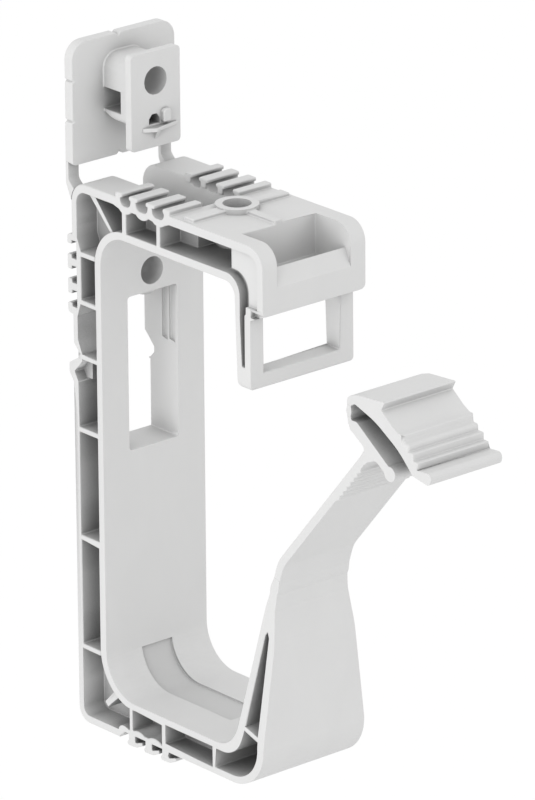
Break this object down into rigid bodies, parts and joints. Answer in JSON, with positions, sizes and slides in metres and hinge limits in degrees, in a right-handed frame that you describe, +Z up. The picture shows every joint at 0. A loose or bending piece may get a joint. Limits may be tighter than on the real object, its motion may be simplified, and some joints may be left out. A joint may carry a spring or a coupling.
{
  "type": "cable bundle holder",
  "caption": "C-shaped holder for bundles of cables, screwed to a wall or ceiling, with a bending front arm that snaps shut and a break-off fixing plate.",
  "frame": {"origin": "centre of the wall screw hole on the frame's back plane", "axes": "+X across the width, +Y into the wall, +Z up; the side that opens faces -Y"},
  "size_m": [0.03, 0.1167, 0.1634],
  "materials": {
    "grey_plastic": "fine matte moulding grain, light grey"
  },
  "bodies": {
    "frame": {"holder_frame": "grey_plastic", "fixing_plate": "grey_plastic"},
    "arm": {"closing_arm": "grey_plastic"},
    "lever": {"latch_lever": "grey_plastic"}
  },
  "joints": [
    {"name": "arm_close", "type": "hinge", "parent": "frame", "child": "arm", "pos_m": [0, -0.0634, -0.0586], "axis": [-1, 0, 0], "range_deg": [0, 38.2], "stiffness_Nm_per_rad": 0.5},
    {"name": "lever_press", "type": "hinge", "parent": "arm", "child": "lever", "pos_m": [0, -0.0885, -0.0095], "axis": [1, 0, 0], "range_deg": [0, 12.5]}
  ],
  "couplings": [
    {"joint": "lever_press", "follows": "arm_close", "ratio": 0.31}
  ]
}
